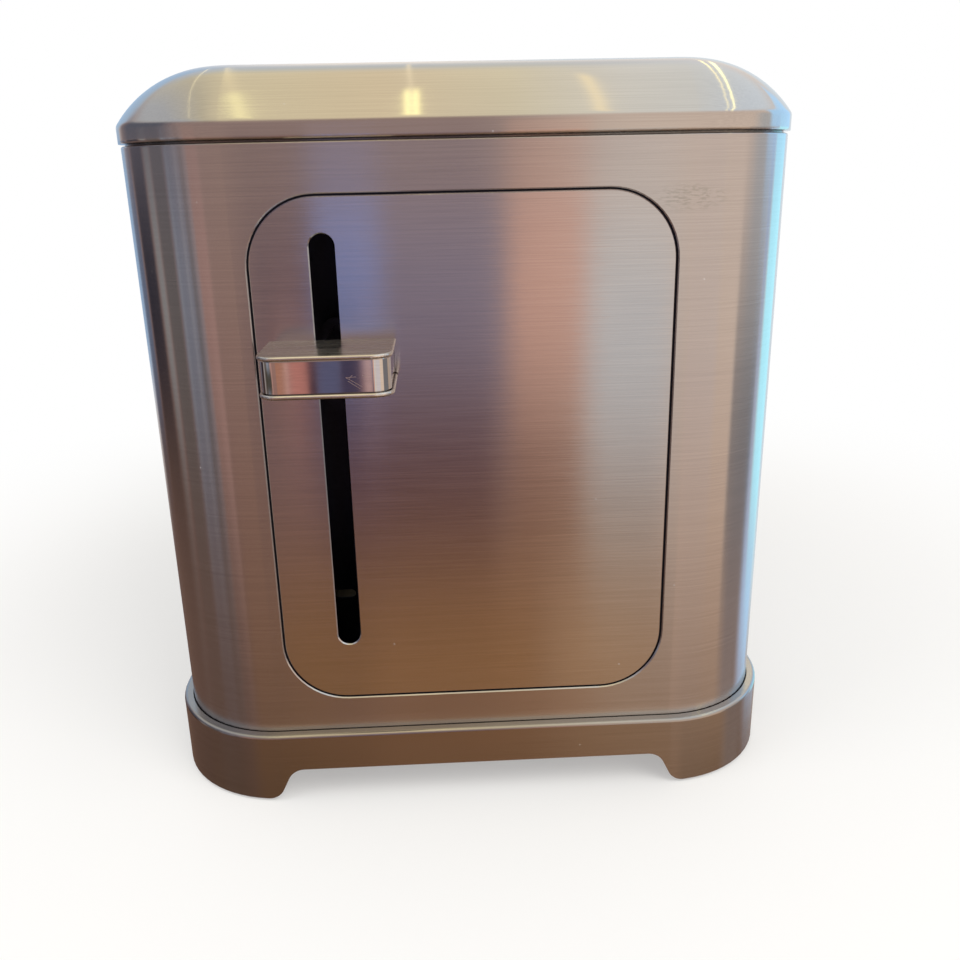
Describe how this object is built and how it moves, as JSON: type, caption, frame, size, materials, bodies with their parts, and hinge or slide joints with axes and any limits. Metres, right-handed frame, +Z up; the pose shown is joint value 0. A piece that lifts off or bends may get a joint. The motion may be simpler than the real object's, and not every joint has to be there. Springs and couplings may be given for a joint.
{
  "type": "two-slice toaster",
  "caption": "Tall brushed-steel two-slice toaster with a domed cap, an end lever in a framed panel, a legged plinth, bread carriage, closing guides, dial, buttons and crumb tray.",
  "frame": {"origin": "on the table, under the middle of the whole toaster's box", "axes": "+Z up, -Y towards the lever end, +X to the right seen from the lever end"},
  "size_m": [0.1895, 0.3042, 0.2057],
  "materials": {
    "brushed_steel_body": "fine horizontal brushing",
    "brushed_steel_cap": "fine brushing, soft sheen",
    "brushed_steel_plinth": "brushed casting",
    "brushed_steel_panel": "fine horizontal brushing, bright bevel",
    "brushed_steel_handle": "brushed",
    "polished_band": "polished",
    "black_backing": "matte black",
    "black_plastic": "matte moulded",
    "circuit_board": "green lacquer",
    "copper_winding": "enamelled wire",
    "iron": "ground",
    "mica": "pale mica sheet",
    "heater_alloy": "oxidised ribbon",
    "foot_rubber": "matte",
    "plated_steel": "zinc plated",
    "wire_steel": "plated wire",
    "tray_steel": "satin sheet"
  },
  "bodies": {
    "housing": {"body_shell": "brushed_steel_body", "top_cap": "brushed_steel_cap", "base_plinth": "brushed_steel_plinth", "bottom_plate": "plated_steel", "base_screws": "plated_steel", "rubber_foot_front_left": "foot_rubber", "rubber_foot_front_right": "foot_rubber", "rubber_foot_rear_left": "foot_rubber", "rubber_foot_rear_right": "foot_rubber", "front_panel": "brushed_steel_panel", "panel_backing": "black_backing", "front_bulkhead": "plated_steel", "rear_bulkhead": "plated_steel", "bulkhead_screws": "plated_steel", "chamber_top_frame": "plated_steel", "heat_reflector_left": "plated_steel", "heat_reflector_right": "plated_steel", "mica_card_left": "mica", "mica_card_centre": "mica", "mica_card_right": "mica", "heater_ribbon_left": "heater_alloy", "heater_ribbon_centre": "heater_alloy", "heater_ribbon_right": "heater_alloy", "guide_rod": "plated_steel", "lift_spring": "plated_steel", "magnet_core": "iron", "magnet_coils": "copper_winding", "tray_runner_left": "plated_steel", "tray_runner_right": "plated_steel", "control_board": "circuit_board", "board_bracket": "plated_steel", "board_standoffs": "black_plastic", "button_switches": "black_plastic", "dial_potentiometer": "black_plastic", "cord_bush": "black_plastic", "terminal_block": "black_plastic"},
    "lever": {"handle_band": "polished_band", "handle_top_plate": "brushed_steel_handle", "handle_bottom_plate": "brushed_steel_handle", "lever_stem": "plated_steel", "carriage_bracket": "plated_steel", "keeper_plate": "iron", "bread_rack_left": "plated_steel", "bread_rack_right": "plated_steel"},
    "guides_closing_right": {"bread_guide_left_outer": "wire_steel", "bread_guide_right_inner": "wire_steel"},
    "guides_closing_left": {"bread_guide_left_inner": "wire_steel", "bread_guide_right_outer": "wire_steel"},
    "crumb_tray": {"crumb_tray": "tray_steel"},
    "browning_dial": {"browning_dial": "polished_band", "dial_shaft": "plated_steel"},
    "cancel_button": {"cancel_button": "brushed_steel_handle"},
    "reheat_button": {"reheat_button": "brushed_steel_handle"},
    "defrost_button": {"defrost_button": "brushed_steel_handle"}
  },
  "joints": [
    {"name": "lever_slide", "type": "slide", "parent": "housing", "child": "lever", "axis": [0, 0, 1], "range_m": [-0.078, 0.022], "stiffness_N_per_m": 190, "springref_m": 0.014, "deforming": ["lift_spring"]},
    {"name": "guides_right_slide", "type": "slide", "parent": "housing", "child": "guides_closing_right", "axis": [1, 0, 0], "range_m": [-0.0018, 0.0061]},
    {"name": "guides_left_slide", "type": "slide", "parent": "housing", "child": "guides_closing_left", "axis": [-1, 0, 0], "range_m": [-0.0018, 0.0061]},
    {"name": "crumb_tray_slide", "type": "slide", "parent": "housing", "child": "crumb_tray", "axis": [0, 1, 0], "range_m": [0, 0.2]},
    {"name": "browning_dial_turn", "type": "hinge", "parent": "housing", "child": "browning_dial", "pos_m": [-0.0965, -0.0439, 0.0608], "axis": [-1, 0, 0], "range_deg": [-135, 135]},
    {"name": "cancel_button_push", "type": "slide", "parent": "housing", "child": "cancel_button", "axis": [1, 0, 0], "range_m": [0, 0.0022], "stiffness_N_per_m": 400},
    {"name": "reheat_button_push", "type": "slide", "parent": "housing", "child": "reheat_button", "axis": [1, 0, 0], "range_m": [0, 0.0022], "stiffness_N_per_m": 400},
    {"name": "defrost_button_push", "type": "slide", "parent": "housing", "child": "defrost_button", "axis": [1, 0, 0], "range_m": [0, 0.0022], "stiffness_N_per_m": 400}
  ],
  "couplings": [
    {"joint": "guides_right_slide", "follows": "lever_slide", "ratio": -0.076923},
    {"joint": "guides_left_slide", "follows": "lever_slide", "ratio": -0.076923}
  ]
}
